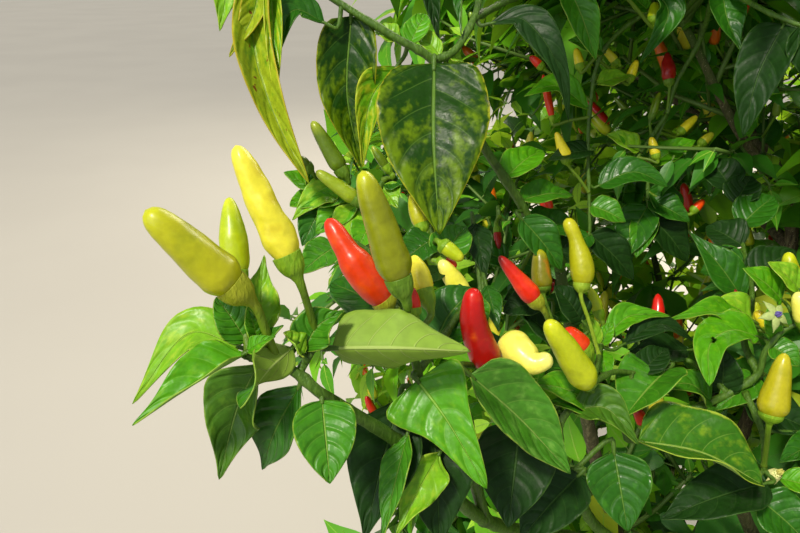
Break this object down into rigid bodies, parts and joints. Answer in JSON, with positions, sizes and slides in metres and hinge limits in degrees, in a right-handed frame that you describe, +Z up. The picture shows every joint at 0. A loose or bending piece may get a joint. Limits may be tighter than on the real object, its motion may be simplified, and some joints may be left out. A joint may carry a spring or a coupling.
{
  "type": "chilli pepper plant",
  "caption": "Bushy fruiting chilli pepper plant: short woody trunk, spreading tapering boughs, glossy leaves and erect ripening chillies, rooted in level ground.",
  "frame": {"origin": "the middle of the flat cut under the trunk, at ground level, which is the mount ground", "axes": "+Z straight up from the ground, -Y towards the side that the picture was taken from, +X to the right in the picture"},
  "size_m": [0.7682, 0.784, 0.9186],
  "materials": {
    "bark": "matt grey-brown bark with a green cast on the younger wood",
    "green_stem": "smooth satin green young stem",
    "foliage": "glossy leaves with pale veins, waxy chillies from pale green and yellow to red"
  },
  "bodies": {
    "root": {"bough_back": "bark", "bough_back_left": "bark", "bough_back_right": "bark", "bough_cluster": "green_stem", "bough_front": "bark", "bough_front_left": "bark", "bough_front_right": "bark", "bough_high_back": "bark", "bough_high_back_left": "bark", "bough_high_front": "bark", "bough_high_left": "bark", "bough_high_right": "bark", "bough_inner": "bark", "bough_left": "bark", "bough_low_back": "bark", "bough_low_back_left": "bark", "bough_low_front": "bark", "bough_low_front_left": "bark", "bough_low_left": "bark", "bough_low_right": "bark", "bough_middle": "bark", "bough_middle_front": "green_stem", "bough_picked": "green_stem", "bough_right": "bark", "cluster_spray": "foliage", "leaves_back": "foliage", "leaves_back_left": "foliage", "leaves_back_right": "foliage", "leaves_front_right": "foliage", "leaves_high_back": "foliage", "leaves_high_back_left": "foliage", "leaves_high_front": "foliage", "leaves_high_left": "foliage", "leaves_high_right": "foliage", "leaves_inner": "foliage", "leaves_left": "foliage", "leaves_low_back": "foliage", "leaves_low_back_left": "foliage", "leaves_low_front": "foliage", "leaves_low_front_left": "foliage", "leaves_low_left": "foliage", "leaves_low_right": "foliage", "leaves_right": "foliage", "leaves_top": "foliage", "middle_spray": "foliage", "picked_spray": "foliage", "right_spray": "foliage", "trunk": "bark", "upper_spray": "foliage"}
  },
  "joints": []
}
